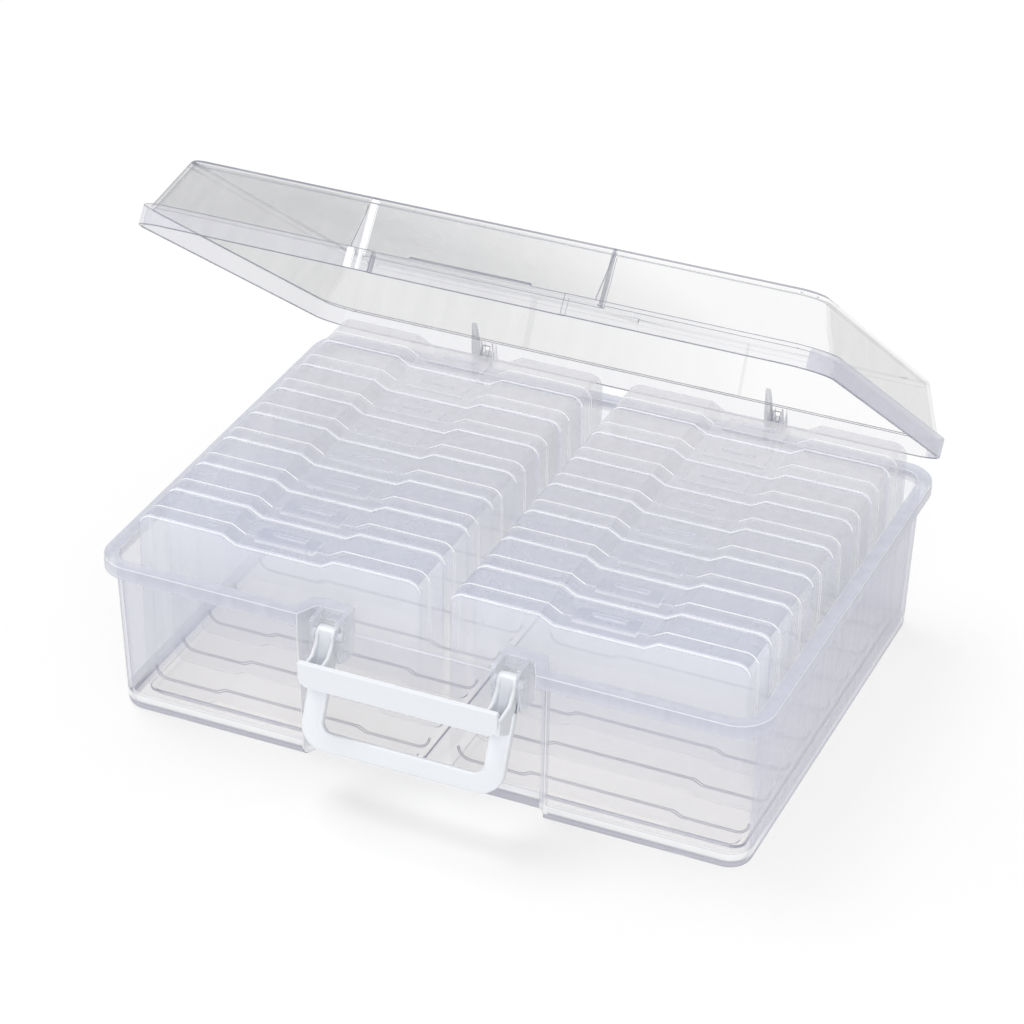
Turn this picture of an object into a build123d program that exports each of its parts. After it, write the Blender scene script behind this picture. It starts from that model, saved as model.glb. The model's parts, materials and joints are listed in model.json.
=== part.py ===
from build123d import *
import math
import os

# Photo keeper case: a clear box with a hinged lid and a swinging carry handle that
# latches the lid, holding two columns of eight thin upright photo cases.
# Millimetres. X runs across, -Y is the handle side, +Y the hinge side, Z is up.
# The origin is the centre of the box's flat underside.

# ---------------------------------------------------------------- driving sizes
RIM_WIDTH = 384.0          # box rim, across
RIM_DEPTH = 286.0          # box rim, front to back
RIM_HEIGHT = 97.0          # top of the box rim
RIM_BAND = 8.0             # height of the rim's outer skirt
RIM_CORNER = 20.0
RIM_OVERHANG = 6.0         # rim stands this far out from the wall
RIM_PLATE = 2.0            # flat top of the rim
WALL = 2.2                 # box walls
FLOOR = 2.5
WALL_TAPER = 3.0           # each wall leans in this much at the bottom
BOTTOM_ROUND = 4.0         # rounded edge under the box

ROW_COUNT = 8              # photo cases in each of the two columns
CASE_RISE = 20.3           # photo cases stand this far above the box rim
COVER_SHARE = 12.0 / 30.4  # front half's share of a photo case's thickness
CASE_WALL = 1.2
CASE_CORNER = 8.0
CASE_EDGE = 2.4            # rounding around the broad faces
NOTCH_WIDTH = 50.0         # dip in the top edge of a photo case
NOTCH_DEPTH = 4.5
NOTCH_RAMP = 8.0
INSTEP_WIDTH = 80.0        # raised middle of a photo case's bottom edge
INSTEP_RISE = 2.6
INSTEP_RAMP = 5.0
TAB_WIDTH = 36.0
TAB_LENGTH = 8.0
TAB_THICKNESS = 1.4
TAB_ROOT = 5.0             # tab runs this far onto the front half
CATCH_WIDTH = 18.0
CATCH_DEPTH = 2.2
CATCH_HEIGHT = 2.2

PANEL_RISE = 1.5           # raised floor panels the photo cases stand on
PANEL_INSET = 2.5
PANEL_EDGE = 1.5           # panel ends short of the first and last row
PANEL_CORNER = 6.0

RECESS_WIDTH = 132.0       # handle bay, width at its back wall
RECESS_DEPTH = 12.0
RECESS_SLOPE = 0.5         # side slope of the bay, x per y
RECESS_ROUND = 4.0
BAY_RUNOUT = 12.0          # the bay's cut runs out this far before the rim
SILL_DROP = 17.0           # wall between the handle ears, below the rim

LID_OVERHANG = 2.0         # lid band stands outside the box rim
LID_BAND = 11.5
LID_HEIGHT = 41.0          # lid band bottom to lid top
LID_WALL = 2.0
LID_CORNER = 22.0
LID_STEP = 4.0             # band to wall
LID_LEAN = 12.0            # front and side walls lean in
LID_LEAN_BACK = 7.0
LID_TOP_ROUND = 3.0
LID_REST_ANGLE = 37.0      # how far the lid stands open
FACE_WIDTH = 135.2         # upright middle of the lid front
FACE_SETBACK = 10.5        # behind the wall line above the band
NICHE_WIDTH = 106.0        # shallow step in the lid band
NICHE_DEPTH = 1.5
BEAD_WIDTH = 68.0          # catch bead on the lid ledge
BEAD_DEPTH = 1.0
BEAD_HEIGHT = 1.2

HINGE_X = 91.0
HINGE_BEHIND = 6.5         # hinge axis behind the rim
HINGE_ABOVE = 1.0          # hinge axis above the rim top
HINGE_PIN = 2.0
HINGE_EAR = 3.0
HINGE_EAR_RADIUS = 5.0
CHEEK_THICKNESS = 3.0
CHEEK_RADIUS = 4.6
EAR_DEPTH = 5.0            # hinge ear behind the back wall, below its boss
FIN_HEIGHT = 34.0          # curved fin above the rim
FIN_CURL = 5.4             # fin tip leans in from the back wall
FIN_THICKNESS = 6.9        # fin root, front to back

BRACKET_NOSE = 5.5         # handle ears stand out in front of the handle axis
BRACKET_DROP = 18.0        # handle ears below the handle axis
BRACKET_CHAMFER = 1.5
SHELF_DROP = 14.0          # stop shelf below the handle axis
SHELF_THICKNESS = 2.0

PIVOT_BEHIND = 4.0         # handle axis behind the rim front
PIVOT_BELOW = 11.0         # handle axis below the rim top
HANDLE_PIN = 2.4
ARM_INNER = 46.5
ARM_OUTER = 57.5
ARM_WALL = 2.0
ARM_REACH = 23.9           # cross bar in front of the handle axis
ARM_DROP = 24.5            # arm's foot below the handle axis
BOSS_RADIUS = 5.0
BAR_HALF = 57.0
BAR_CORNER = 6.5           # lower corners of the cross bar
LOOP_HALF = 58.5
LOOP_BEHIND = 1.6          # middle of the loop behind the handle axis
LOOP_THICKNESS = 5.2
LOOP_EDGE = 1.6            # rounding of the loop's frame
LOOP_BAR = 12.0
LOOP_FOOT = 11.3
LOOP_ROUND = 14.0
LOOP_INNER_ROUND = 5.6
LOOP_TOP = -15.5           # loop top and bottom along the loop from the handle axis
LOOP_BOTTOM = -61.5
LOOP_LEAN = 24.0           # degrees, its foot out in front
HANDLE_EAR = 2.5

# ---------------------------------------------------------------- clearances
REST_GAP = 0.3             # a piece resting on another
RUN_GAP = 0.05             # radial, pin in hole
SIDE_GAP = 0.4             # beside a turning arm
CHEEK_GAP = 0.5
SPLIT_GAP = 0.2            # between the two halves of a photo case
ROW_GAP = 0.6
COLUMN_GAP = 16.0
FRONT_GAP = 4.3            # bay wall to the first row
BACK_GAP = 2.9             # last row to the back wall, at the floor
OUTER_GAP = 4.8            # photo cases to the side wall, at the floor
SLOT_GAP = 0.6
CATCH_GAP = 0.7            # catch in its window

# ---------------------------------------------------------------- derived sizes
HALF_W = RIM_WIDTH / 2
HALF_D = RIM_DEPTH / 2
BODY_W = HALF_W - RIM_OVERHANG
BODY_D = HALF_D - RIM_OVERHANG
BAY_WALL = -(BODY_D - RECESS_DEPTH)
BAY_HALF = RECESS_WIDTH / 2
SILL_HEIGHT = RIM_HEIGHT - SILL_DROP
FOOT_INSET = WALL_TAPER + WALL
FIRST_ROW = BAY_WALL + WALL + FRONT_GAP
LAST_ROW_BACK = BODY_D - FOOT_INSET - BACK_GAP
PITCH = (LAST_ROW_BACK - FIRST_ROW + ROW_GAP) / ROW_COUNT
CASE_BASE = FLOOR + PANEL_RISE + REST_GAP
CASE_WIDTH = BODY_W - FOOT_INSET - OUTER_GAP - COLUMN_GAP / 2
CASE_HEIGHT = RIM_HEIGHT + CASE_RISE - CASE_BASE
CASE_THICKNESS = PITCH - ROW_GAP
COVER_DEPTH = CASE_THICKNESS * COVER_SHARE
TRAY_DEPTH = CASE_THICKNESS - COVER_DEPTH - SPLIT_GAP
NOTCH_FLOOR = CASE_HEIGHT - NOTCH_DEPTH

LID_W = HALF_W + LID_OVERHANG
LID_D = HALF_D + LID_OVERHANG
LID_LOW = RIM_HEIGHT + REST_GAP
LID_LEDGE = LID_LOW + LID_BAND
LID_TOP = LID_LOW + LID_HEIGHT
HINGE_Y = HALF_D + HINGE_BEHIND
HINGE_Z = RIM_HEIGHT + HINGE_ABOVE
PIVOT_Y = -HALF_D + PIVOT_BEHIND
PIVOT_Z = RIM_HEIGHT - PIVOT_BELOW
EAR_IN = ARM_INNER - SIDE_GAP - HANDLE_EAR
EAR_OUT = ARM_OUTER + SIDE_GAP + HANDLE_EAR
ARM_HEEL = [(0.117, -0.163), (-0.264, -1.0)]


def box(x0, x1, y0, y1, z0, z1):
    """Block between two corners."""
    centre = ((x0 + x1) / 2, (y0 + y1) / 2, (z0 + z1) / 2)
    return Pos(*centre) * Box(x1 - x0, y1 - y0, z1 - z0)


def plan(half_w, half_d, corner, z, y=0.0):
    """Rounded rectangle lying flat at a height."""
    return Pos(0, y, z) * RectangleRounded(2 * half_w, 2 * half_d, corner)


def side_plate(points, x0, x1):
    """Plate standing in the YZ plane, from (y, z) points, between two x values."""
    face = make_face(Polyline(*[(0, y, z) for y, z in points], close=True))
    return Pos(min(x0, x1), 0, 0) * extrude(face, amount=abs(x1 - x0), dir=(1, 0, 0))


def rod(y, z, radius, x0, x1):
    """Round bar along X."""
    bar = Cylinder(radius, abs(x1 - x0), rotation=(0, 90, 0))
    return Pos((x0 + x1) / 2, y, z) * bar


def bay_plan(grow):
    """Plan of the handle bay, its walls moved out by grow."""
    reach = HALF_D + BAY_RUNOUT
    depth = reach + BAY_WALL
    slant = math.hypot(1.0, RECESS_SLOPE)
    back = BAY_WALL + grow
    half = BAY_HALF + grow * (slant - RECESS_SLOPE)
    wide = half + RECESS_SLOPE * (depth + grow)
    corners = [(-wide, -reach), (wide, -reach), (half, back), (-half, back)]
    shape = make_face(Polyline(*corners, close=True))
    inner = shape.vertices().group_by(Axis.Y)[-1]
    return fillet(inner, RECESS_ROUND + max(grow, 0.0))


def prism(sketch, z0, z1):
    """Upright prism of a flat sketch."""
    return Pos(0, 0, z0) * extrude(sketch, amount=z1 - z0, dir=(0, 0, 1))


# ---------------------------------------------------------------- box
def box_outside():
    """Tapered outside of the box walls, rounded under."""
    low = plan(BODY_W - WALL_TAPER, BODY_D - WALL_TAPER, RIM_CORNER - RIM_OVERHANG - 1, 0)
    high = plan(BODY_W, BODY_D, RIM_CORNER - RIM_OVERHANG, RIM_HEIGHT)
    body = loft([low, high])
    under = body.faces().sort_by(Axis.Z)[0].edges()
    return fillet(under, BOTTOM_ROUND)


def box_inside():
    """Hollow of the box, following the bay."""
    corner = RIM_CORNER - RIM_OVERHANG - WALL
    low = plan(BODY_W - FOOT_INSET, BODY_D - FOOT_INSET, corner - 1, FLOOR)
    high = plan(BODY_W - WALL, BODY_D - WALL, corner, RIM_HEIGHT + 1)
    hollow = loft([low, high])
    return hollow - prism(bay_plan(WALL), 0, RIM_HEIGHT + 2)


def box_rim():
    """Flat rim with a thin outer skirt, stepping in around the bay."""
    bottom = RIM_HEIGHT - RIM_BAND
    outline = RectangleRounded(RIM_WIDTH, RIM_DEPTH, RIM_CORNER) - bay_plan(-RIM_OVERHANG)
    inset = RectangleRounded(RIM_WIDTH - 2 * RIM_PLATE, RIM_DEPTH - 2 * RIM_PLATE,
                             RIM_CORNER - RIM_PLATE) - bay_plan(RIM_PLATE - RIM_OVERHANG)
    wall_line = RectangleRounded(2 * BODY_W, 2 * BODY_D, RIM_CORNER - RIM_OVERHANG)
    groove = inset - (wall_line - bay_plan(0))
    rim = prism(outline, bottom, RIM_HEIGHT)
    return rim - prism(groove, bottom - 1, RIM_HEIGHT - RIM_PLATE)


def column_span(side):
    """x range of a column of photo cases."""
    near = COLUMN_GAP / 2
    far = near + CASE_WIDTH
    return (near, far) if side > 0 else (-far, -near)


def floor_panel(side, inset, z0, z1):
    """Raised floor panel under one column, or the hollow beneath it."""
    x0, x1 = column_span(side)
    y0 = FIRST_ROW + PANEL_EDGE + inset
    y1 = LAST_ROW_BACK - PANEL_EDGE - inset
    sketch = RectangleRounded(x1 - x0 - 2 * inset, y1 - y0, PANEL_CORNER)
    return prism(Pos((x0 + x1) / 2, (y0 + y1) / 2, 0) * sketch, z0, z1)


def handle_ear(x0, x1):
    """Plate in the bay with a hole for the handle's pin."""
    wall = BAY_WALL + WALL / 2
    front = PIVOT_Y - BRACKET_NOSE
    cut = BRACKET_CHAMFER
    outline = [
        (wall, RIM_HEIGHT), (front + cut, RIM_HEIGHT), (front, RIM_HEIGHT - cut),
        (front, PIVOT_Z - BRACKET_DROP / 3), (front + 3 * cut, PIVOT_Z - 0.9 * BRACKET_DROP),
        (wall, PIVOT_Z - BRACKET_DROP),
    ]
    plate = side_plate(outline, x0, x1)
    return plate - rod(PIVOT_Y, PIVOT_Z, HANDLE_PIN + RUN_GAP, x0 - 1, x1 + 1)


def handle_bracket(side):
    """Two ears joined by the stop shelf that the handle's arm rests against."""
    inner = handle_ear(*sorted((side * EAR_IN, side * (EAR_IN + HANDLE_EAR))))
    outer = handle_ear(*sorted((side * EAR_OUT, side * (EAR_OUT - HANDLE_EAR))))
    overlap = HANDLE_EAR / 2
    x0, x1 = sorted((side * (EAR_IN + overlap), side * (EAR_OUT - overlap)))
    stop = PIVOT_Y + arm_heel_y(-SHELF_DROP) + REST_GAP
    top = PIVOT_Z - SHELF_DROP
    shelf = box(x0, x1, stop, BAY_WALL + WALL / 2, top - SHELF_THICKNESS, top)
    return inner + outer + shelf


def hinge_ear(side):
    """Hinge plate on the back wall, running up into a curved fin."""
    back = BODY_D
    root = RIM_HEIGHT - HINGE_EAR_RADIUS
    low = [
        (back - WALL / 2, root - 9), (back + EAR_DEPTH, root - 7),
        (HINGE_Y + 1.5, HINGE_Z - 0.94 * HINGE_EAR_RADIUS), (HINGE_Y, HINGE_Z),
        (HINGE_Y - HINGE_EAR_RADIUS / 2, HINGE_Z + 0.84 * HINGE_EAR_RADIUS),
        (back + 0.7 * EAR_DEPTH, HINGE_Z + 1.1 * HINGE_EAR_RADIUS),
    ]
    outer = [(0.26, 0.29), (0.11, 0.44), (-0.19, 0.62), (-0.59, 0.82), (-1.0, 1.0)]
    inner = [(0.93, 0.96), (1.0, 0.65), (0.96, 0.35), (0.81, 0.0)]
    fin = [(back + FIN_CURL * y, RIM_HEIGHT + FIN_HEIGHT * z) for y, z in outer]
    fin += [(back - FIN_THICKNESS * y, RIM_HEIGHT + FIN_HEIGHT * z) for y, z in inner]
    outline = low + fin + [(back - 0.7 * WALL, root - 1)]
    x0 = side * HINGE_X - HINGE_EAR / 2
    x1 = side * HINGE_X + HINGE_EAR / 2
    plate = side_plate(outline, x0, x1) + rod(HINGE_Y, HINGE_Z, HINGE_EAR_RADIUS, x0, x1)
    return plate - rod(HINGE_Y, HINGE_Z, HINGE_PIN + RUN_GAP, x0 - 1, x1 + 1)


def make_box():
    """The box: walls, rim, bay, floor panels, handle brackets and hinge ears."""
    solid = box_outside() - prism(bay_plan(0), -1, RIM_HEIGHT + 1) + box_rim()
    solid -= box_inside()
    sill = EAR_IN + HANDLE_EAR / 5
    solid -= box(-sill, sill, -HALF_D - 5, BAY_WALL + 2 * WALL, SILL_HEIGHT, RIM_HEIGHT + 1)
    for side in (-1, 1):
        solid += floor_panel(side, 0, FLOOR / 2, FLOOR + PANEL_RISE)
        solid -= floor_panel(side, PANEL_INSET, -1, PANEL_RISE)
        solid += handle_bracket(side)
        solid += hinge_ear(side)
    return solid


# ---------------------------------------------------------------- lid
def lid_shape(inset, z_low, z_high, corner):
    """Leaning upper part of the lid, moved in by inset."""
    rise = LID_HEIGHT - LID_BAND
    sketches = []
    for z in (z_low, z_high):
        part = (z - LID_LEDGE) / rise
        half_w = LID_W - LID_STEP - LID_LEAN * part - inset
        front = LID_D - LID_STEP - LID_LEAN * part - inset
        back = LID_D - LID_STEP - LID_LEAN_BACK * part - inset
        middle = (back - front) / 2
        sketches.append(plan(half_w, (front + back) / 2, corner - 4 * part, z, middle))
    return loft(sketches)


def lid_outside():
    """Outside of the lid with its band, upright front face and niche."""
    top = lid_shape(0, LID_LEDGE - 1, LID_TOP, LID_CORNER - LID_STEP)
    top = fillet(top.faces().sort_by(Axis.Z)[-1].edges(), LID_TOP_ROUND)
    face = -(LID_D - LID_STEP - FACE_SETBACK)
    half = FACE_WIDTH / 2
    top -= box(-half, half, -LID_D - 5, face, LID_LEDGE, LID_TOP + 1)
    band = prism(RectangleRounded(2 * LID_W, 2 * LID_D, LID_CORNER), LID_LOW, LID_LEDGE)
    half = NICHE_WIDTH / 2
    band -= box(-half, half, -LID_D - 5, -LID_D + NICHE_DEPTH, LID_LOW - 1, LID_LEDGE + 1)
    return top + band


def lid_inside():
    """Hollow of the lid, following its outside."""
    inset = LID_WALL * math.hypot(1.0, LID_LEAN / (LID_HEIGHT - LID_BAND))
    top = lid_shape(inset, LID_LEDGE - LID_WALL, LID_TOP - LID_WALL, LID_CORNER - LID_STEP - 2)
    face = -(LID_D - LID_STEP - FACE_SETBACK - LID_WALL)
    half = FACE_WIDTH / 2 + LID_WALL
    top -= box(-half, half, -LID_D - 5, face, LID_LEDGE - LID_WALL - 1, LID_TOP + 1)
    band = prism(RectangleRounded(2 * (LID_W - LID_WALL), 2 * (LID_D - LID_WALL),
                                  LID_CORNER - LID_WALL), LID_LOW - 1, LID_LEDGE - LID_WALL)
    half = NICHE_WIDTH / 2 + LID_WALL
    back = -LID_D + NICHE_DEPTH + LID_WALL
    band -= box(-half, half, -LID_D - 5, back, LID_LOW - 2, LID_LEDGE)
    return top + band


def lid_cheeks(side):
    """Two cheeks behind the band with the hinge pin between them."""
    back = LID_D - LID_WALL / 2
    outline = [
        (back, HINGE_Z + 1), (back, LID_LEDGE - 1), (back + 3, LID_LEDGE - 2.5),
        (HINGE_Y + 3.2, HINGE_Z + 3.2), (HINGE_Y, HINGE_Z),
    ]
    inner = HINGE_EAR / 2 + CHEEK_GAP
    centre = side * HINGE_X
    cheeks = rod(HINGE_Y, HINGE_Z, HINGE_PIN, centre - inner - 1, centre + inner + 1)
    for hand in (-1, 1):
        ends = sorted((centre + hand * inner, centre + hand * (inner + CHEEK_THICKNESS)))
        cheeks += side_plate(outline, *ends)
        cheeks += rod(HINGE_Y, HINGE_Z, CHEEK_RADIUS, *ends)
    return cheeks


def make_lid():
    """The lid, built closed and then swung up to its rest angle."""
    lid = lid_outside() - lid_inside()
    half = BEAD_WIDTH / 2
    front = -LID_D + NICHE_DEPTH
    lid += box(-half, half, front, front + BEAD_DEPTH, LID_LEDGE - 0.5, LID_LEDGE + BEAD_HEIGHT)
    slot = HINGE_EAR / 2 + SLOT_GAP
    for side in (-1, 1):
        lid -= box(side * HINGE_X - slot, side * HINGE_X + slot, LID_D - 2 * LID_WALL,
                   LID_D + 1, LID_LOW - 1, HINGE_Z + 6.5)
        lid += lid_cheeks(side)
    return lid.rotate(Axis((0, HINGE_Y, HINGE_Z), (1, 0, 0)), -LID_REST_ANGLE)


# ---------------------------------------------------------------- handle
def arm_heel_y(z):
    """Back edge of the arm at a height, both measured from the handle axis."""
    top_y, top_z = ARM_REACH * ARM_HEEL[0][0], ARM_DROP * ARM_HEEL[0][1]
    low_y, low_z = ARM_REACH * ARM_HEEL[1][0], ARM_DROP * ARM_HEEL[1][1]
    return top_y + (low_y - top_y) * (z - top_z) / (low_z - top_z)


def handle_plate(points, x0, x1):
    """Side plate from points in shares of the arm's reach and drop from its axis."""
    return side_plate([(PIVOT_Y + ARM_REACH * y, PIVOT_Z + ARM_DROP * z) for y, z in points],
                      x0, x1)


def handle_arm(side):
    """Channel from the pivot boss out to the cross bar, open along its top."""
    outline = [
        (-0.142, 0.139), (-0.251, -0.106), (-0.439, -0.310), (-0.795, -0.351),
        (-1.021, -0.367), (-1.021, -0.714), (-0.506, -1.0), *reversed(ARM_HEEL), (0, 0),
    ]
    hollow = [
        (-0.142, 0.245), (-1.025, 0.245), (-1.025, -0.624), (-0.469, -0.922), (-0.138, -0.200),
    ]
    x0, x1 = sorted((side * ARM_INNER, side * ARM_OUTER))
    arm = handle_plate(outline, x0, x1) + rod(PIVOT_Y, PIVOT_Z, BOSS_RADIUS, x0, x1)
    arm -= handle_plate(hollow, x0 + ARM_WALL, x1 - ARM_WALL)
    pin0, pin1 = sorted((side * EAR_IN, side * EAR_OUT))
    return arm + rod(PIVOT_Y, PIVOT_Z, HANDLE_PIN, pin0, pin1)


def cross_bar():
    """Flat bar across the arms, with the lip that hooks behind the lid's bead."""
    plate = [(-1.0, -0.094), (-1.126, -0.102), (-1.117, -0.722), (-0.992, -0.714)]
    lip = [(-1.029, -0.171), (-0.956, -0.164), (-0.949, -0.227), (-1.029, -0.235)]
    bar = handle_plate(plate, -BAR_HALF, BAR_HALF)
    ends = bar.faces().sort_by(Axis.X)
    bar = fillet([end.edges().sort_by(Axis.Z)[0] for end in (ends[0], ends[-1])], BAR_CORNER)
    return bar + handle_plate(lip, -BAR_HALF, BAR_HALF)


def grip_loop():
    """Rounded frame that the hand goes through, hanging from the arms' backs."""
    height = LOOP_TOP - LOOP_BOTTOM
    outer = Rectangle(2 * LOOP_HALF, height)
    outer = fillet(outer.vertices().group_by(Axis.Y)[0], LOOP_ROUND)
    inner_height = height - LOOP_FOOT + 2
    inner = Rectangle(2 * (LOOP_HALF - LOOP_BAR), inner_height)
    inner = Pos(0, (height - inner_height) / 2 + 1, 0) * inner
    inner = fillet(inner.vertices().group_by(Axis.Y)[0], LOOP_INNER_ROUND)
    frame = extrude(outer - inner, amount=LOOP_THICKNESS / 2, both=True)
    flat = frame.faces().filter_by(Axis.Z)
    frame = fillet(flat.sort_by(Axis.Z)[-1].edges() + flat.sort_by(Axis.Z)[0].edges(), LOOP_EDGE)
    frame = Pos(0, LOOP_BEHIND, (LOOP_TOP + LOOP_BOTTOM) / 2) * frame.rotate(Axis.X, 90)
    return Pos(0, PIVOT_Y, PIVOT_Z) * frame.rotate(Axis.X, -LOOP_LEAN)


def make_handle():
    """Carry handle: two channel arms, cross bar and grip loop in one piece."""
    handle = cross_bar() + grip_loop()
    for side in (-1, 1):
        handle += handle_arm(side)
    return handle


# ---------------------------------------------------------------- photo cases
def edge_cut(width, depth, ramp, shrink):
    """Trapezoid that cuts a dip into an edge along y = 0, from below its floor."""
    half = width / 2 + shrink
    floor = -depth - shrink
    slope = (ramp / depth) * (1 - floor)
    return make_face(Polyline((-half, floor), (half, floor), (half + slope, 1),
                              (-half - slope, 1), close=True))


def case_outline(shrink):
    """Front view of a photo case with the dips in its top and bottom edges."""
    width = CASE_WIDTH - 2 * shrink
    height = CASE_HEIGHT - 2 * shrink
    sheet = Pos(0, CASE_HEIGHT / 2) * RectangleRounded(width, height, CASE_CORNER - shrink)
    sheet -= Pos(0, CASE_HEIGHT) * edge_cut(NOTCH_WIDTH, NOTCH_DEPTH, NOTCH_RAMP, shrink)
    return sheet - edge_cut(INSTEP_WIDTH, INSTEP_RISE, INSTEP_RAMP, shrink).mirror(Plane.XZ)


def half_shell(depth, open_front):
    """Half of a photo case, open towards the other half; front face at y = 0."""
    block = extrude(case_outline(0), amount=depth)
    closed = block.faces().sort_by(Axis.Z)[-1 if open_front else 0]
    block = fillet(closed.edges(), CASE_EDGE)
    hollow = extrude(case_outline(CASE_WALL), amount=depth)
    hollow = Pos(0, 0, -CASE_WALL if open_front else CASE_WALL) * hollow
    shell = block - hollow
    return shell.rotate(Axis.X, 90).mirror(Plane.XZ)


def make_cover():
    """Front half with the snap tab that reaches over the other half."""
    shell = half_shell(COVER_DEPTH, False)
    half = TAB_WIDTH / 2
    low = NOTCH_FLOOR + REST_GAP
    high = low + TAB_THICKNESS
    sunk = CASE_WALL / 2
    root = box(-half, half, COVER_DEPTH - TAB_ROOT, COVER_DEPTH, NOTCH_FLOOR - sunk, high)
    tab = box(-half, half, COVER_DEPTH - sunk, COVER_DEPTH + TAB_LENGTH, low, high)
    return shell + root + tab - catch_block(CATCH_GAP, CATCH_HEIGHT / 2)


def catch_block(grow, extra):
    """Catch on the back half's dip, or the window it pokes through."""
    y0 = COVER_DEPTH + TAB_LENGTH / 2 - CATCH_DEPTH / 2
    half = CATCH_WIDTH / 2 + grow
    low = NOTCH_FLOOR - CASE_WALL / 2 + extra / 2
    return box(-half, half, y0 - grow, y0 + CATCH_DEPTH + grow, low,
               NOTCH_FLOOR + CATCH_HEIGHT + extra)


def make_tray():
    """Back half with the catch for the snap tab."""
    shell = Pos(0, COVER_DEPTH + SPLIT_GAP, 0) * half_shell(TRAY_DEPTH, True)
    return shell + catch_block(0, 0)


# ---------------------------------------------------------------- write the nodes
def save(shape, name):
    """Write one node."""
    solids = shape.solids()
    if len(solids) != 1:
        raise ValueError(f"{name} has {len(solids)} solids")
    export_step(solids[0], os.path.join("parts", name + ".step"))


def main():
    os.makedirs("parts", exist_ok=True)
    save(make_box(), "case_base")
    save(make_lid(), "case_lid")
    save(make_handle(), "carry_handle")
    tray = make_tray()
    cover = make_cover()
    for side, column in ((-1, "left"), (1, "right")):
        x0, x1 = column_span(side)
        for row in range(ROW_COUNT):
            place = Pos((x0 + x1) / 2, FIRST_ROW + row * PITCH, CASE_BASE)
            name = f"photo_case_{column}_{row + 1}"
            save(place * tray, name + "_tray")
            save(place * cover, name + "_cover")


main()
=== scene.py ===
"""Finishes and studio for a clear photo keeper case with a hinged lid."""

import json
import math
from collections import namedtuple

import bmesh
import bpy
from bpy.props import FloatProperty, FloatVectorProperty, PointerProperty
from bpy.types import Operator, Panel, PropertyGroup
from mathutils import Matrix, Vector


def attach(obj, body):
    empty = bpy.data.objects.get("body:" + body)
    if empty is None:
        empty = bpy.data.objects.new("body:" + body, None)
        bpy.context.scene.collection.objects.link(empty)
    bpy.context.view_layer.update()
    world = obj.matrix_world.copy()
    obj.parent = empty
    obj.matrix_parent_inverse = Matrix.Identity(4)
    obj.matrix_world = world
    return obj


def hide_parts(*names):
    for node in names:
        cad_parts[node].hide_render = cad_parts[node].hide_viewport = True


bl_info = {
    "name": "Photo Keeper Case",
    "version": (1, 0, 0),
    "blender": (4, 5, 0),
    "location": "3D View > Sidebar > Photo Keeper",
    "description": "Finishes and studio for a clear keeper case full of photo cases",
    "category": "Object",
}

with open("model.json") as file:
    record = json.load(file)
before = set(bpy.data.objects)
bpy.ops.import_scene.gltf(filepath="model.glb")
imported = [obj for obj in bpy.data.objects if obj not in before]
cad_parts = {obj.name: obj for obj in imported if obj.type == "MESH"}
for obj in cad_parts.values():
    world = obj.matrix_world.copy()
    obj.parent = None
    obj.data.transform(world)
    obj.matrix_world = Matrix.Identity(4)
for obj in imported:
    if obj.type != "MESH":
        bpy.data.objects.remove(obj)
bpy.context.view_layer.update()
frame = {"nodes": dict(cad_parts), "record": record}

COLUMNS = ("left", "right")
ROWS = range(1, 9)
HALVES = ("cover", "tray")

LID_HINGE = next(joint for joint in frame["record"]["behaviour"]["joints"]
                 if joint["name"] == "lid_hinge")
SHUT = Matrix.Rotation(math.radians(-LID_HINGE["range_deg"][0]), 3, "X")

# places that tell the parts of the mouldings apart, in metres; a pair is from and to
RIM_LOW = 0.0885                   # under the rim of the box
RIM_TOP = 0.0975                   # above the rim of the box
BOX_FOOT = 0.006                   # the box's rounding ends below this height
BOX_WALL_END = 0.0024              # the ends of the box's walls are slimmer than this
EARS = (0.040, 0.0625)             # the handle's ears, out from the middle
EARS_LOW = 0.06                    # under the handle's ears
EARS_BACK = -0.124                 # behind the handle's ears
BAY_SIDES = (0.055, 0.084)         # the sides of the handle bay, out from the middle
BAY_BACK = -0.118                  # behind the sides of the handle bay
FINS_OUT = 0.095                   # the fins are nearer the middle than this
LID_LEDGE = 0.1088                 # top of the lid's band, with the lid shut
LID_WALL_END = 0.0022              # the ends of the lid's walls are slimmer than this
STEP_SIDE = 0.0676                 # side of the step in the lid's front
STEP_WALL = 0.003                  # the step's walls are within this of its side
NICHE_SIDE = 0.053                 # side of the niche in the lid's band
NICHE_EDGE = 0.060                 # painted highlight line beside the niche
CASE_LOW_END = 0.03                # the photo cases' feet are below this height
CASE_TOP = 0.1125                  # just under the dips in the photo cases' tops
CASE_MIDDLE = 0.092                # middle of a column of photo cases
CASE_TAB = 0.019                   # half the width of a photo case's tab
CASE_WALL_END = 0.0014             # the ends of the cases' walls are slimmer than this
FRONT_END = (-0.115, -0.095)       # lines thin out behind the front between these depths
REAR_START = (-0.09, 0.07)         # the rear colour takes over between these depths

# how far a face's normal leans, from 0 across an axis to 1 along it
LEVEL = 0.985                      # a level face
UPRIGHT = 0.1                      # an upright face leans less than this
SIDEWAYS = 0.9                     # a face that looks to the side
UP_OR_DOWN = 0.7                   # a face that looks mostly up or down
BAY_TURN = 0.2                     # the sides of the bay turn sideways by more than this
BAND_END_TURN = 0.5                # and so do the ends of the lid's band
SHINE_LEAN = (0.58, 0.78)          # the strip of a case's rounding that takes a painted highlight
SHINE_RISE = 0.2                   # and how far that strip looks up
FOOT_LEAN = (0.53, 0.81)           # the strip under a photo case that takes painted shade
FOOT_DROP = -0.3                   # and how far that strip looks down
EDGE_TURN = 0.25                   # eased corners that look up and to the front take a painted highlight
RIM_LEAN = 0.12                    # a case's roundings lean by more than this

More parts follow.
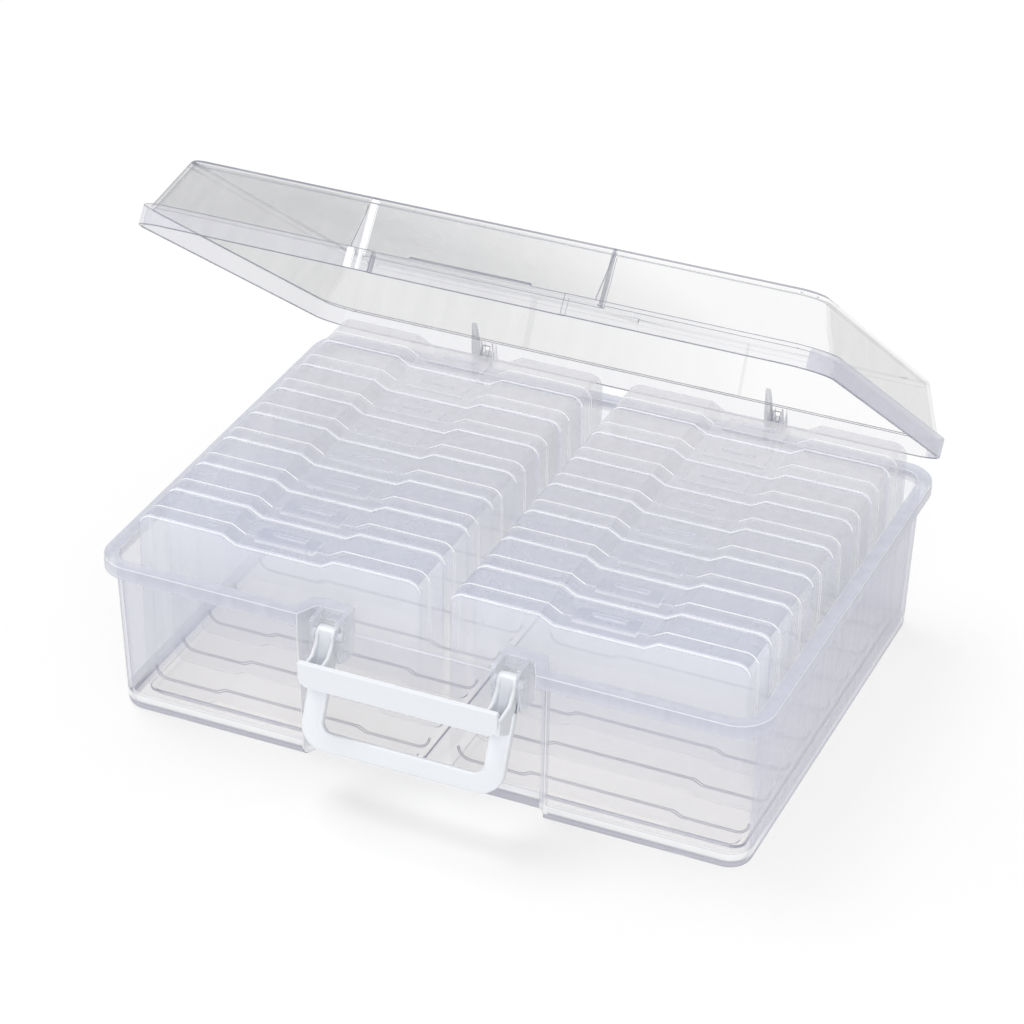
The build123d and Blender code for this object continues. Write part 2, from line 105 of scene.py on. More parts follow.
MERGE = 1e-6                       # corners nearer than this are one
FLAT = math.radians(0.4)           # faces that meet more flatly than this are one
CORNER = math.radians(20.0)        # a wall's end turns by more than this
SMOOTH = math.radians(28.0)        # a bend sharper than this shows as an edge
SHARP = math.radians(35.0)         # corners sharper than this are eased

# finishes in the order in which the pieces hold them
(BOX_WALLS, BOX_FLOOR, BOX_RIMS, BOX_BAY_SIDES, BOX_EARS, BOX_EAR_EDGES, BOX_FINS, BOX_EDGES,
 BOX_SHADED_LOW_EDGES) = range(9)
(LID_WALLS, LID_SIDE, LID_PANES, LID_EDGES, LID_BAND, LID_BAND_SIDES, LID_STEP_HIGHLIGHT) = range(7)
CASE_WALLS, CASE_TOPS, CASE_FLOOR, CASE_RIMS, CASE_EDGES, CASE_HIGHLIGHT, CASE_LOW = range(7)


# ------------------------------------------------------------------ settings
def colour(name, description, default):
    """A colour that the user can set."""
    return FloatVectorProperty(name=name, description=description, subtype="COLOR", size=3,
                               min=0.0, max=1.0, default=default)


def eased(piece, default):
    """The width of a piece's eased corners, which the user can set."""
    return FloatProperty(name=f"{piece} corners", min=0.0, subtype="DISTANCE", unit="LENGTH",
                         description=f"Width of the eased corners of the {piece.lower()}",
                         default=default)


class PhotoKeeperPlastics(PropertyGroup):
    """Colours and finishes of the moulded plastics"""

    box_tint: colour(
        "Box tint", "What one surface of the clear box lets through",
        (0.972, 0.975, 0.982),
    )
    lid_tint: colour(
        "Lid tint", "What one surface of the clear lid lets through",
        (0.990, 0.990, 0.991),
    )
    case_tint: colour(
        "Photo case tint", "What one surface of a photo case lets through",
        (0.985, 0.987, 0.990),
    )
    box_body: colour(
        "Box walls", "Colour of the box's walls where they turn away",
        (0.70, 0.70, 0.84),
    )
    box_floor: colour(
        "Box floor", "Colour of the light gathered in the box's floor",
        (1.0, 0.945, 0.88),
    )
    box_rim: colour(
        "Box rims", "Colour gathered in the rim and the ends of the box's walls",
        (0.62, 0.63, 0.73),
    )
    # Painted shade: the dark line drawn along the rounding under the box.
    box_foot_shade: colour(
        "Box foot", "Colour gathered in the rounding under the box",
        (0.46, 0.46, 0.53),
    )
    bay_side: colour(
        "Bay sides", "Colour of the sides of the handle bay",
        (0.70, 0.715, 0.80),
    )
    ears: colour(
        "Handle ears", "Colour of the plates that hold the handle",
        (0.84, 0.855, 0.94),
    )
    dark_edge: colour(
        "Dark edges", "Colour of the roundings that turn the light away",
        (0.26, 0.265, 0.32),
    )
    bright_edge: colour(
        "Bright edges", "Colour of the fine edges that catch the light",
        (0.93, 0.935, 0.96),
    )
    lid_body: colour(
        "Lid walls", "Colour of the haze in the lid's walls",
        (0.40, 0.405, 0.42),
    )
    # Painted shade: the finer dark lines drawn in the lid and the strip under each photo case;
    # also the colour of the fins.
    lid_edge: colour(
        "Lid edges", "Colour of the finer lines in the lid",
        (0.36, 0.365, 0.41),
    )
    lid_band: colour(
        "Lid band", "Colour of the band round the lid's opening",
        (0.58, 0.585, 0.68),
    )
    case_body: colour(
        "Photo case walls", "Colour of the haze in a photo case's walls",
        (0.89, 0.90, 1.0),
    )
    # Painted shade: a darker haze for the photo cases' up-facing top walls, holding back the
    # light that falls on them.
    case_top_shade: colour(
        "Photo case tops", "Colour of the haze in a photo case's top wall",
        (0.41, 0.425, 0.53),
    )
    case_rear: colour(
        "Rear photo cases", "Colour of the haze towards the back of the box",
        (0.68, 0.675, 0.71),
    )
    case_rim: colour(
        "Photo case roundings", "Colour gathered in the roundings of a photo case",
        (0.70, 0.715, 0.83),
    )
    handle_colour: colour(
        "Handle", "Colour of the carry handle",
        (0.80, 0.82, 0.86),
    )
    box_ease: eased("Box", 0.0004)
    lid_ease: eased("Lid", 0.0005)
    case_ease: eased("Photo case", 0.0004)
    handle_ease: eased("Handle", 0.0005)


class PhotoKeeperStudio(PropertyGroup):
    """Camera, lamps and floor"""

    azimuth: FloatProperty(
        name="Azimuth", description="Camera's turn to the right of the handle side",
        subtype="ANGLE", default=math.radians(23.5),
    )
    elevation: FloatProperty(
        name="Elevation", description="Camera's height above the floor as an angle",
        subtype="ANGLE", default=math.radians(31.34),
    )
    roll: FloatProperty(
        name="Roll", description="Camera's tilt", subtype="ANGLE", default=math.radians(0.87),
    )
    distance: FloatProperty(
        name="Distance", description="Camera to the middle of the case",
        subtype="DISTANCE", unit="LENGTH", default=1.9686,
    )
    aim: FloatVectorProperty(
        name="Aim", description="Point the camera looks at", subtype="XYZ", unit="LENGTH",
        size=3, default=(-0.00839, 0.0, 0.09602),
    )
    lens: FloatProperty(
        name="Lens", description="Focal length in millimetres", min=20.0, default=126.0,
    )
    floor_colour: colour("Floor", "Colour of the studio floor", (0.90, 0.90, 0.90))
    key_strength: FloatProperty(
        name="Key lamp", description="Strength of the large soft lamp above", min=0.0,
        default=1.5,
    )
    front_strength: FloatProperty(
        name="Front lamp", description="Strength of the soft lamp in front", min=0.0,
        default=1.2,
    )
    fill_level: FloatProperty(
        name="Fill", description="Level of the light from all round", min=0.0, default=0.50,
    )


# ------------------------------------------------------------------ materials
class Level:
    """A number that varies over a surface; sums and products of it add Math nodes."""

    def __init__(self, finish, socket):
        self.finish = finish
        self.socket = socket

    def maths(self, operation, first, second=0.0):
        node = self.finish.add("ShaderNodeMath", {"operation": operation}, {0: first, 1: second})
        return Level(self.finish, node.outputs[0])

    def __add__(self, other):
        return self.maths("ADD", self, other)

    def __radd__(self, other):
        return self.maths("ADD", other, self)

    def __sub__(self, other):
        return self.maths("SUBTRACT", self, other)

    def __rsub__(self, other):
        return self.maths("SUBTRACT", other, self)

    def __mul__(self, other):
        return self.maths("MULTIPLY", self, other)

    def __rmul__(self, other):
        return self.maths("MULTIPLY", other, self)

    def __truediv__(self, other):
        return self.maths("DIVIDE", self, other)

    def __pow__(self, other):
        return self.maths("POWER", self, other)

    def __abs__(self):
        return self.maths("ABSOLUTE", self)

    def clamp(self):
        node = self.finish.add("ShaderNodeClamp", {}, {"Value": self, "Min": 0.0, "Max": 1.0})
        return Level(self.finish, node.outputs[0])


class Finish:
    """The nodes of a material or of the world."""

    def __init__(self, owner):
        owner.use_nodes = True
        self.owner = owner
        self.tree = owner.node_tree
        self.tree.nodes.clear()

    def add(self, kind, settings=None, sockets=None):
        """A node of a type, with its settings first and then its values or links."""
        node = self.tree.nodes.new(kind)
        for name, value in (settings or {}).items():
            setattr(node, name, value)
        for name, value in (sockets or {}).items():
            socket = node.inputs[name]
            if isinstance(value, Level):
                value = value.socket
            if isinstance(value, bpy.types.NodeSocket):
                self.tree.links.new(value, socket)
            else:
                socket.default_value = value
        return node

    def level(self, kind, output, settings=None, sockets=None):
        return Level(self, self.add(kind, settings, sockets).outputs[output])

    def blend(self, factor, first, second):
        """A colour that runs from the first to the second."""
        return self.add("ShaderNodeMix", {"data_type": "RGBA"},
                        {"Factor": factor, 6: first, 7: second}).outputs[2]

    def surface(self, shader):
        self.add("ShaderNodeOutputMaterial", {}, {"Surface": shader.outputs[0]})
        return self.owner


# how much a wall covers what is behind it: seen face on, added edge on, and from which turn
Shown = namedtuple("Shown", "face_on edge_on start")
# the cover thins out along an axis from low to high, to a share of itself
Fade = namedtuple("Fade", "axis low high share")
# a line of a colour across an axis, with half its width and the cover that it adds; the lines
# are painted highlights and painted shade
Line = namedtuple("Line", "axis place half cover colour")

HAZE_SCALE = 110.0                 # streaks of haze to a metre
HAZE_DRAWN = (1.0, 1.0, 0.06)      # the haze is drawn out upwards
CLOUD_SCALE = 7.0                  # clouds in the plastic to a metre
CLOUD_SHARE = 0.5                  # how far the clouds change the cover
NOISE_MIDDLE = 0.5                 # the haze and the clouds vary about this
TURN_POWER = 1.5                   # how late the cover grows as a wall turns away
STEEP = (0.72, 0.92)               # the outline takes over as a wall turns this far away
LINE_SHARPNESS = 4.0               # how sharply a line ends
WAVE_DEPTH = 0.0004                # depth of the waves in a clear surface
CLEAR_ROUGHNESS = 0.10
HAZE_ROUGHNESS = 0.08              # roughness that the haze adds
CLEAR_IOR = 1.49

GRAIN_SCALE = 900.0                # grain of the white plastic to a metre
GRAIN_DEPTH = 0.0002
GRAIN_STRENGTH = 0.12
MOTTLE_SCALE = 18.0                # slightly darker places to a metre
MOTTLE_SHADE = 0.96                # share of the colour that they keep
WHITE_ROUGHNESS = 0.34
MOTTLE_ROUGHNESS = 0.12            # roughness that they add
WHITE_IOR = 1.5


def opaque(rgb):
    return (*rgb, 1.0)


def ramp(value, limits):
    """0 up to the first limit and 1 from the second."""
    low, high = limits
    return ((value - low) / (high - low)).clamp()


def lid_shut(point):
    """Where a point of the lid is with the lid shut."""
    pivot = Vector(LID_HINGE["pos_m"])
    return SHUT @ (point - pivot) + pivot


def swung_shut(made, place):
    """Coordinates on the lid as they are with the lid shut."""
    pivot = Vector(LID_HINGE["pos_m"])
    return made.add("ShaderNodeMapping", {"vector_type": "POINT"}, {
        "Vector": place, "Location": pivot - SHUT @ pivot, "Rotation": SHUT.to_euler(),
    }).outputs[0]


def clear_plastic(name, tint, body_colour, shown, shade=0.998, gloss=0.3, outline=None,
                  fade=None, lines=(), lines_back=1.0, rear_colour=None, streaks=0.5,
                  ripple=0.04, on_lid=False):
    """Clear moulded plastic.

    It tints what is behind it and covers it a little, more where the wall turns away, as
    shown says. The outline is the colour of the steepest parts. A fade thins the covering
    out along an axis, to a share. The lines are painted highlights and painted shade; each
    runs across its axis, with the share lines_back of its cover behind the front, and the
    rear colour takes over towards the back. Light passes through by the share shade.
    """
    made = Finish(bpy.data.materials.new(name))
    place = made.add("ShaderNodeTexCoord").outputs["Object"]
    if on_lid:
        place = swung_shut(made, place)
    axes = made.add("ShaderNodeSeparateXYZ", {}, {0: place})
    along = {axis: Level(made, axes.outputs[axis]) for axis in "XYZ"}
    away = made.level("ShaderNodeLayerWeight", "Facing", {}, {"Blend": 0.5})
    drawn = made.add("ShaderNodeMapping", {}, {"Vector": place, "Scale": HAZE_DRAWN})
    haze = made.level("ShaderNodeTexNoise", "Fac", {},
                      {"Vector": drawn.outputs[0], "Scale": HAZE_SCALE, "Detail": 2.0})
    clouds = made.level("ShaderNodeTexNoise", "Fac", {},
                        {"Vector": place, "Scale": CLOUD_SCALE, "Detail": 1.0})
    turned = ramp(away, (shown.start, 1.0)) ** TURN_POWER * shown.edge_on
    even = 1.0 - NOISE_MIDDLE * (CLOUD_SHARE + streaks)
    unevenness = even + CLOUD_SHARE * clouds + streaks * haze
    cover = (turned + shown.face_on) * unevenness
    if fade:
        faded = ramp(along[fade.axis], (fade.low, fade.high))
        cover = cover * (1.0 - faded * (1.0 - fade.share))
    shade_of = opaque(body_colour)
    if rear_colour:
        shade_of = made.blend(ramp(along["Y"], REAR_START), shade_of, opaque(rear_colour))
    if outline:
        shade_of = made.blend(ramp(away, STEEP), shade_of, opaque(outline))
    for line in lines:
        off_line = abs(along[line.axis] - line.place) * (LINE_SHARPNESS / line.half)
        on_line = (LINE_SHARPNESS - off_line).clamp()
        if lines_back < 1.0:
            on_line = on_line * (1.0 - ramp(along["Y"], FRONT_END) * (1.0 - lines_back))
        cover = cover + on_line * line.cover
        shade_of = made.blend(on_line, shade_of, opaque(line.colour))
    waves = made.add("ShaderNodeBump", {}, {"Strength": ripple, "Distance": WAVE_DEPTH,
                                            "Height": haze})
    body = made.add("ShaderNodeBsdfPrincipled", {}, {
        "Base Color": shade_of, "Roughness": CLEAR_ROUGHNESS + HAZE_ROUGHNESS * haze,
        "IOR": CLEAR_IOR, "Specular IOR Level": gloss, "Normal": waves.outputs[0],
    })
    through = made.add("ShaderNodeBsdfTransparent", {}, {"Color": opaque(tint)})
    seen = made.add("ShaderNodeMixShader", {}, {"Fac": cover.clamp(), 1: through.outputs[0],
                                                2: body.outputs[0]})
    path = made.add("ShaderNodeLightPath")
    lighting = (Level(made, path.outputs["Is Shadow Ray"])
                + Level(made, path.outputs["Is Diffuse Ray"])).clamp()
    lit_way = made.add("ShaderNodeBsdfTransparent", {}, {"Color": opaque([shade] * 3)})
    return made.surface(made.add("ShaderNodeMixShader", {}, {
        "Fac": lighting, 1: seen.outputs[0], 2: lit_way.outputs[0],
    }))


def white_plastic(name, rgb):
    """Opaque white moulding with a soft sheen and a fine texture."""
    made = Finish(bpy.data.materials.new(name))
    place = made.add("ShaderNodeTexCoord").outputs["Object"]
    grain = made.level("ShaderNodeTexNoise", "Fac", {},
                       {"Vector": place, "Scale": GRAIN_SCALE, "Detail": 3.0})
    mottle = made.level("ShaderNodeTexNoise", "Fac", {},
                        {"Vector": place, "Scale": MOTTLE_SCALE, "Detail": 2.0})
    darker = [level * MOTTLE_SHADE for level in rgb]
    shade = made.blend(mottle, opaque(rgb), opaque(darker))
    fine = made.add("ShaderNodeBump", {}, {"Strength": GRAIN_STRENGTH,
                                           "Distance": GRAIN_DEPTH, "Height": grain})
    body = made.add("ShaderNodeBsdfPrincipled", {}, {
        "Base Color": shade, "Roughness": WHITE_ROUGHNESS + MOTTLE_ROUGHNESS * mottle,
        "IOR": WHITE_IOR, "Normal": fine.outputs[0],
    })
    return made.surface(body)


def body_of(node):
    """The body that carries a CAD node."""
    for body, nodes in frame["record"]["behaviour"]["bodies"].items():
        if node in nodes:
            return body
    raise ValueError(f"no body carries {node}")


def ends_a_wall(face, thickness):
    """True for the slim flat face at the end of a wall."""
    long_edge = max(face.edges, key=lambda edge: edge.calc_length())
    slim = face.calc_area() < thickness * long_edge.calc_length()
    return slim and long_edge.calc_face_angle(0.0) > CORNER


def between(value, limits):
    return limits[0] < value < limits[1]


def box_part(face, eased_edge):
    """Which of the box's finishes a face takes, or an eased edge."""
    place, facing = face.calc_center_median(), face.normal
    out = abs(place.x)
    if place.y < EARS_BACK and between(out, EARS) and place.z > EARS_LOW:
        return BOX_EAR_EDGES if eased_edge else BOX_EARS
    if place.z > RIM_TOP and out < FINS_OUT and place.y > 0.0:
        return BOX_FINS
    if eased_edge:
        # Eased corners low on the box take painted shade, the others a painted highlight.
        return BOX_SHADED_LOW_EDGES if place.z < BOX_FOOT else BOX_EDGES
    if place.z < BOX_FOOT and abs(facing.z) > LEVEL:
        return BOX_FLOOR
    if between(out, BAY_SIDES) and place.y < BAY_BACK and abs(facing.x) > BAY_TURN:
        return BOX_BAY_SIDES
    if place.z > RIM_LOW or ends_a_wall(face, BOX_WALL_END):
        return BOX_RIMS
    return BOX_WALLS


def lid_part(face, eased_edge):
    """Which of the lid's finishes a face takes, or an eased edge."""
    facing = SHUT @ face.normal
    place = lid_shut(face.calc_center_median())
    if eased_edge:
        return LID_EDGES
    if abs(facing.z) > LEVEL:
        return LID_PANES
    if abs(facing.z) < UPRIGHT and place.z < LID_LEDGE:
        return LID_BAND_SIDES if abs(facing.x) > BAND_END_TURN else LID_BAND
    if abs(facing.x) > SIDEWAYS and abs(abs(place.x) - STEP_SIDE) < STEP_WALL:
        # The step's left wall takes a painted highlight.
        return LID_STEP_HIGHLIGHT if place.x < 0.0 else LID_PANES
    if abs(facing.x) > SIDEWAYS and place.x > 0.0:
        return LID_SIDE
    return LID_EDGES if ends_a_wall(face, LID_WALL_END) else LID_WALLS


def case_part(face, eased_edge):
    """Which of a photo case's finishes a face takes, or an eased edge."""
    place, facing = face.calc_center_median(), face.normal
    on_tab = abs(abs(place.x) - CASE_MIDDLE) < CASE_TAB and place.z > CASE_TOP
    to_front = -facing.y
    # Low eased corners take painted shade.
    if eased_edge and place.z < CASE_LOW_END:
        return CASE_LOW
    if eased_edge and on_tab:
        return CASE_RIMS
    if eased_edge:
        shines = facing.z > EDGE_TURN and to_front > EDGE_TURN
        return CASE_HIGHLIGHT if shines else CASE_EDGES
    if abs(facing.z) > UP_OR_DOWN and place.z < CASE_LOW_END:
        return CASE_FLOOR
    if between(to_front, SHINE_LEAN) and facing.z > SHINE_RISE:
        return CASE_HIGHLIGHT
    if between(to_front, FOOT_LEAN) and facing.z < FOOT_DROP:
        return CASE_LOW
    if between(abs(facing.y), (RIM_LEAN, LEVEL)) or ends_a_wall(face, CASE_WALL_END):
        return CASE_RIMS
    # Up-facing walls take the painted shade of the tops.
    return CASE_TOPS if facing.z > UP_OR_DOWN else CASE_WALLS


def moulding(node, finishes, part, ease):
    """A CAD node's shape with its outer sharp corners eased.

    Its faces and the eased corners take the finishes that part gives.
    """
    piece = node + "_moulding"
    shape = bmesh.new()
    shape.from_mesh(frame["nodes"][node].data)
    bmesh.ops.remove_doubles(shape, verts=shape.verts, dist=MERGE)
    bmesh.ops.dissolve_limit(shape, angle_limit=FLAT, verts=shape.verts, edges=shape.edges,
                             use_dissolve_boundaries=False)
    for face in shape.faces:
        face.material_index = part(face, False)
        face.smooth = True
    sharp = [edge for edge in shape.edges
             if edge.is_convex and edge.calc_face_angle(0.0) > SHARP]
    corners = bmesh.ops.bevel(shape, geom=sharp, offset=ease, offset_type="OFFSET", segments=1,
                              profile=0.5, affect="EDGES", material=-1, clamp_overlap=False)
    for face in corners["faces"]:
        face.material_index = part(face, True)
        face.smooth = True
    for edge in shape.edges:
        parts = {face.material_index for face in edge.link_faces}
        edge.smooth = len(parts) == 1 and edge.calc_face_angle(0.0) < SMOOTH
    mesh = bpy.data.meshes.new(piece)
    shape.to_mesh(mesh)
    shape.free()
    for finish in finishes:
        mesh.materials.append(finish)
    made = bpy.data.objects.new(piece, mesh)
    bpy.context.scene.collection.objects.link(made)
    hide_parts(node)
    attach(made, body_of(node))


# ------------------------------------------------------------------ operators
class PHOTOKEEPER_OT_clear_box(Operator):
    """Finish the box and its lid as clear moulded plastic"""

    bl_idname = "photokeeper.clear_box"
    bl_label = "Box and lid"

    def execute(self, context):
        self.box(context.scene.photokeeper_plastics)
        self.lid(context.scene.photokeeper_plastics)
        return {"FINISHED"}

    @staticmethod
    def box(plastics):
        def finish(part, body, shown, shade=0.87, **more):
            return clear_plastic("clear_box_" + part, plastics.box_tint, body, Shown(*shown),
                                 shade, **more)

        dark, bright = plastics.dark_edge, plastics.bright_edge
        # Painted shade and painted highlight along the box's foot: a dark line on the rounding
        # and a bright line just above it.
        foot = (Line("Z", 0.0024, 0.0030, 0.8, plastics.box_foot_shade),
                Line("Z", 0.0082, 0.0026, 0.5, bright))
        finishes = (
            finish("walls", plastics.box_body, (0.07, 0.9, 0.4), outline=dark, lines=foot,
                   lines_back=0.4),
            finish("floor", plastics.box_floor, (0.30, 0.2, 0.5), shade=0.99, gloss=0.1,
                   ripple=0.0, streaks=0.0),
            finish("rims", plastics.box_rim, (0.42, 0.5, 0.3), outline=dark),
            finish("bay_sides", plastics.bay_side, (0.34, 0.3, 0.3)),
            finish("ears", plastics.ears, (0.24, 0.3, 0.4)),
            finish("ear_edges", plastics.ears, (0.35, 0.3, 0.4)),
            finish("fins", plastics.lid_edge, (0.22, 0.4, 0.3), gloss=0.1),
            # Painted highlight on the eased corners, painted shade on those low on the box.
            finish("edges", bright, (0.50, 0.2, 0.2)),
            finish("shaded_low_edges", dark, (0.7, 0.2, 0.2), gloss=0.0),
        )
        moulding("case_base", finishes, box_part, plastics.box_ease)

    @staticmethod
    def lid(plastics):
        def finish(part, body, shown, **more):
            return clear_plastic("clear_lid_" + part, plastics.lid_tint, body, Shown(*shown),
                                 shade=0.965, gloss=0.05, on_lid=True, **more)

        dark, bright = plastics.dark_edge, plastics.bright_edge
        top = max(lid_shut(corner.co).z for corner in frame["nodes"]["case_lid"].data.vertices)
        # Painted light: the haze of the lid, and of its band, thins out towards the right, so
        # the lid is lighter there.
        lid_lighter_to_right = Fade("X", -0.1, 0.08, 0.05)
        # Painted highlight and painted shade: a bright strip beside the step in the lid's front,
        # a dark line at the step's right side and dark lines along the rounding of the lid's top
        # edge.
        strip = Line("X", 0.0020 - STEP_SIDE, 0.0022, 0.7, bright)
        rounding = (strip, Line("X", STEP_SIDE, 0.0010, 0.6, dark),
                    Line("Z", top - 0.0006, 0.0009, 0.7, dark),
                    Line("Z", top - 0.0036, 0.0004, 0.4, plastics.lid_edge))
        # Painted highlight and painted shade beside the niche in the lid's band: the bright
        # strip, a bright line and a dark line.
        niche = (strip, Line("X", -NICHE_EDGE, 0.0010, 0.5, bright),
                 Line("X", -NICHE_SIDE, 0.0008, 0.5, dark))
        finishes = (
            finish("walls", plastics.lid_body, (0.17, 0.8, 0.45), outline=dark,
                   fade=lid_lighter_to_right, lines=rounding, lines_back=0.15),
            finish("side", plastics.lid_body, (0.06, 0.3, 0.5), lines=rounding,
                   lines_back=0.7),
            finish("panes", plastics.lid_body, (0.13, 0.3, 0.6), fade=lid_lighter_to_right),
            # Painted shade on the lid's eased corners and wall ends.
            finish("edges", dark, (0.65, 0.3, 0.2)),
            finish("band", plastics.lid_band, (0.14, 0.5, 0.4), lines=niche, lines_back=0.0,
                   fade=Fade("X", -0.1, 0.08, 0.45)),
            finish("band_sides", plastics.lid_band, (0.45, 0.6, 0.4), streaks=0.1,
                   fade=Fade("X", 0.05, -0.1, 0.35)),
            # Painted highlight on the left wall of the step in the lid's front.
            finish("step", bright, (0.75, 0.2, 0.5)),
        )
        moulding("case_lid", finishes, lid_part, plastics.lid_ease)


class PHOTOKEEPER_OT_photo_cases(Operator):
    """Finish the sixteen photo cases as slightly cloudy clear plastic"""

    bl_idname = "photokeeper.photo_cases"
    bl_label = "Photo cases"

    def execute(self, context):
        plastics = context.scene.photokeeper_plastics
        finishes = self.finishes(plastics)
        for column in COLUMNS:
            for row in ROWS:
                for half in HALVES:
                    moulding(f"photo_case_{column}_{row}_{half}", finishes,
                             case_part, plastics.case_ease)
        return {"FINISHED"}

    @staticmethod
    def finishes(plastics):
        def finish(part, body, shown, **more):
            return clear_plastic("clear_case_" + part, plastics.case_tint, body,
                                 Shown(*shown), **more)

        dark, bright, rear = plastics.dark_edge, plastics.bright_edge, plastics.case_rear
        low = Fade("Z", 0.085, 0.030, 0.05)
        return (
            finish("walls", plastics.case_body, (0.13, 0.25, 0.5), outline=plastics.case_rim,
                   fade=low, rear_colour=rear, streaks=0.8),
            # Painted shade: the top walls take a darker haze.
            finish("tops", plastics.case_top_shade, (0.46, 0.2, 0.5), rear_colour=rear,
                   ripple=0.01),
            finish("floor", plastics.box_floor, (0.08, 0.1, 0.5), ripple=0.0, streaks=0.0),
            finish("rims", plastics.case_rim, (0.25, 0.4, 0.4), outline=dark, fade=low),
            # Painted highlight, fainter, on the other eased corners.
            finish("edges", bright, (0.35, 0.2, 0.2), fade=low),
            # Painted highlight along the front top rounding of each photo case.
            finish("line", bright, (0.75, 0.2, 0.2)),
            # Painted shade on the strip under each photo case and on its low eased corners.
            finish("low_shade_line", plastics.lid_edge, (0.70, 0.2, 0.2), gloss=0.0),
        )


class PHOTOKEEPER_OT_handle(Operator):
    """Finish the carry handle as white moulded plastic"""

    bl_idname = "photokeeper.handle"
    bl_label = "Carry handle"

    def execute(self, context):
        plastics = context.scene.photokeeper_plastics
        white = white_plastic("white_handle", plastics.handle_colour)
        moulding("carry_handle", (white,), lambda face, eased_edge: 0,
                 plastics.handle_ease)
        return {"FINISHED"}


WALLS_SEEN_THROUGH = 128           # clear surfaces one behind the other
REFLECTIONS = 8
FLOOR_REACH = 6.0                  # half the floor's width
FLOOR_GLOW = 0.40                  # share of plain white in the floor as it is seen
KEY_PLACE, KEY_SPREAD = (-0.42, 0.12, 0.90), math.radians(32.0)
FRONT_PLACE, FRONT_SPREAD = (0.9, -1.9, 1.3), math.radians(40.0)
SENSOR_WIDTH = 36.0                # in millimetres, as the lens


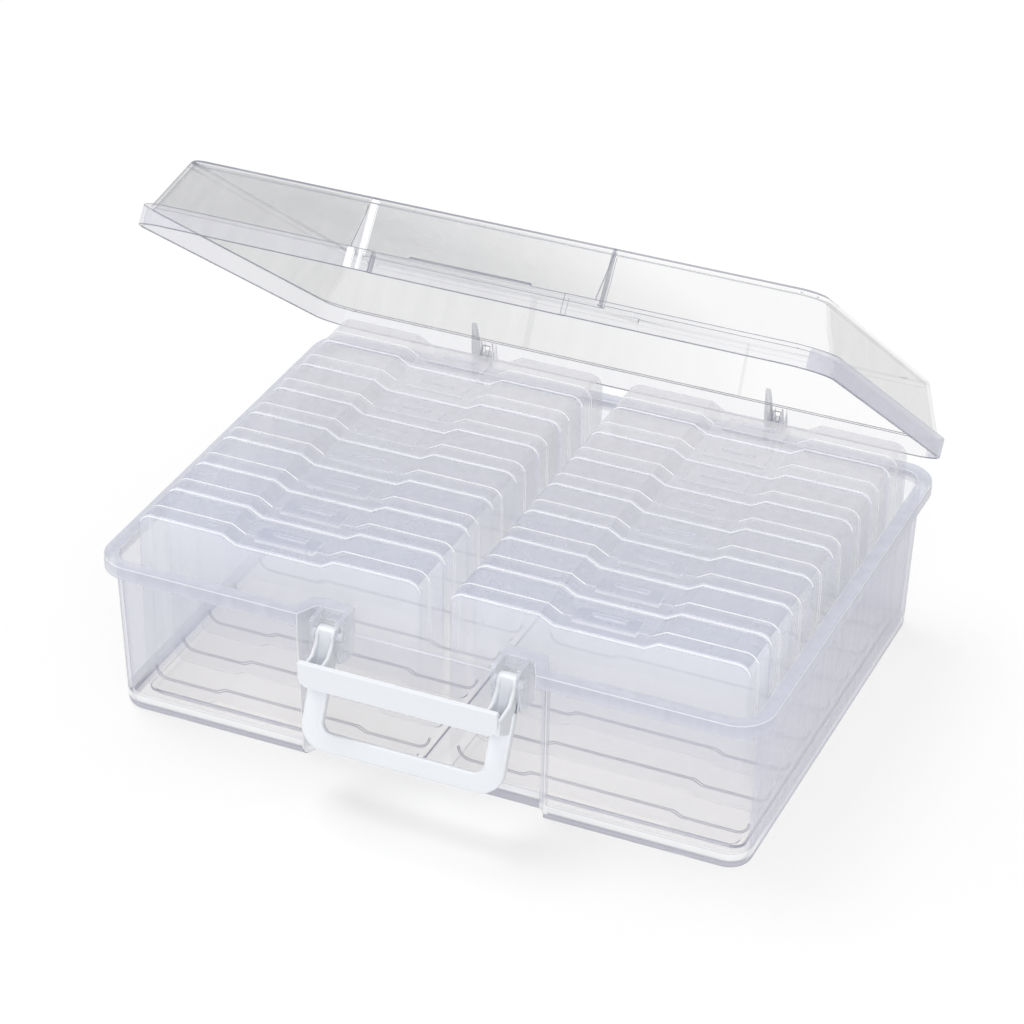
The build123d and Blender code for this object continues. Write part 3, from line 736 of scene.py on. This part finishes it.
class PHOTOKEEPER_OT_stage(Operator):
    """Set the pale floor, the lamps and the camera"""

    bl_idname = "photokeeper.stage"
    bl_label = "Studio"

    def execute(self, context):
        studio = context.scene.photokeeper_studio
        self.floor(studio)
        self.world(context.scene, studio)
        self.lamps(studio)
        self.camera(context.scene, studio)
        context.scene.view_settings.view_transform = "Standard"
        context.scene.cycles.transparent_max_bounces = WALLS_SEEN_THROUGH
        context.scene.cycles.max_bounces = REFLECTIONS
        return {"FINISHED"}

    @staticmethod
    def seen(made):
        """1 where the camera, a reflection or a view through plastic looks, else 0."""
        path = made.add("ShaderNodeLightPath")
        camera, glossy, through = (
            Level(made, path.outputs[name])
            for name in ("Is Camera Ray", "Is Glossy Ray", "Is Transmission Ray")
        )
        return (camera + glossy + through).clamp()

    def floor(self, studio):
        mesh = bpy.data.meshes.new("studio_floor")
        shape = bmesh.new()
        bmesh.ops.create_grid(shape, x_segments=1, y_segments=1, size=FLOOR_REACH)
        shape.to_mesh(mesh)
        shape.free()
        floor = bpy.data.objects.new("studio_floor", mesh)
        bpy.context.scene.collection.objects.link(floor)
        made = Finish(bpy.data.materials.new("studio_floor"))
        pale = made.add("ShaderNodeBsdfDiffuse", {}, {"Color": opaque(studio.floor_colour)})
        glow = made.add("ShaderNodeEmission", {}, {"Color": (1, 1, 1, 1), "Strength": 1.0})
        mixed = made.add("ShaderNodeMixShader", {}, {
            "Fac": self.seen(made) * FLOOR_GLOW, 1: pale.outputs[0], 2: glow.outputs[0],
        })
        mesh.materials.append(made.surface(mixed))

    def world(self, scene, studio):
        world = bpy.data.worlds.new("studio_light")
        scene.world = world
        made = Finish(world)
        fill = made.add("ShaderNodeBackground", {}, {"Color": (1, 1, 1, 1),
                                                     "Strength": studio.fill_level})
        white = made.add("ShaderNodeBackground", {}, {"Color": (1, 1, 1, 1), "Strength": 1.0})
        mixed = made.add("ShaderNodeMixShader", {}, {
            "Fac": self.seen(made), 1: fill.outputs[0], 2: white.outputs[0],
        })
        made.add("ShaderNodeOutputWorld", {}, {"Surface": mixed.outputs[0]})

    def lamps(self, studio):
        for name, place, spread, strength in (
            ("key", KEY_PLACE, KEY_SPREAD, studio.key_strength),
            ("front", FRONT_PLACE, FRONT_SPREAD, studio.front_strength),
        ):
            lamp = bpy.data.lights.new(name, "SUN")
            lamp.angle = spread
            lamp.energy = strength
            holder = bpy.data.objects.new(name, lamp)
            bpy.context.scene.collection.objects.link(holder)
            holder.location = place
            holder.rotation_euler = Vector(place).to_track_quat("Z", "Y").to_euler()

    def camera(self, scene, studio):
        turn, rise, roll = studio.azimuth, studio.elevation, studio.roll
        back = Vector((math.sin(turn) * math.cos(rise), -math.cos(turn) * math.cos(rise),
                       math.sin(rise)))
        right = Vector((math.cos(turn), math.sin(turn), 0.0))
        up = back.cross(right)
        tilted_right = right * math.cos(roll) + up * math.sin(roll)
        tilted_up = up * math.cos(roll) - right * math.sin(roll)
        lens = bpy.data.cameras.new("view")
        lens.lens = studio.lens
        lens.sensor_width = SENSOR_WIDTH
        holder = bpy.data.objects.new("view", lens)
        scene.collection.objects.link(holder)
        axes = Matrix((tilted_right, tilted_up, back)).transposed().to_4x4()
        axes.translation = Vector(studio.aim) + back * studio.distance
        holder.matrix_world = axes
        scene.camera = holder


class PHOTOKEEPER_PT_sidebar(Panel):
    """Lists the steps that dress the keeper case"""

    bl_label = "Photo Keeper"
    bl_space_type = "VIEW_3D"
    bl_region_type = "UI"
    bl_category = "Photo Keeper"

    def draw(self, context):
        for step in STEPS:
            self.layout.operator(step.bl_idname)


STEPS = (
    PHOTOKEEPER_OT_clear_box,
    PHOTOKEEPER_OT_photo_cases,
    PHOTOKEEPER_OT_handle,
    PHOTOKEEPER_OT_stage,
)
CLASSES = (PhotoKeeperPlastics, PhotoKeeperStudio, *STEPS, PHOTOKEEPER_PT_sidebar)


def register():
    for cls in CLASSES:
        bpy.utils.register_class(cls)
    bpy.types.Scene.photokeeper_plastics = PointerProperty(type=PhotoKeeperPlastics)
    bpy.types.Scene.photokeeper_studio = PointerProperty(type=PhotoKeeperStudio)


def unregister():
    del bpy.types.Scene.photokeeper_studio
    del bpy.types.Scene.photokeeper_plastics
    for cls in reversed(CLASSES):
        bpy.utils.unregister_class(cls)


def main():
    register()
    bpy.ops.photokeeper.clear_box()
    bpy.ops.photokeeper.photo_cases()
    bpy.ops.photokeeper.handle()
    bpy.ops.photokeeper.stage()


if __name__ == "__main__":
    main()
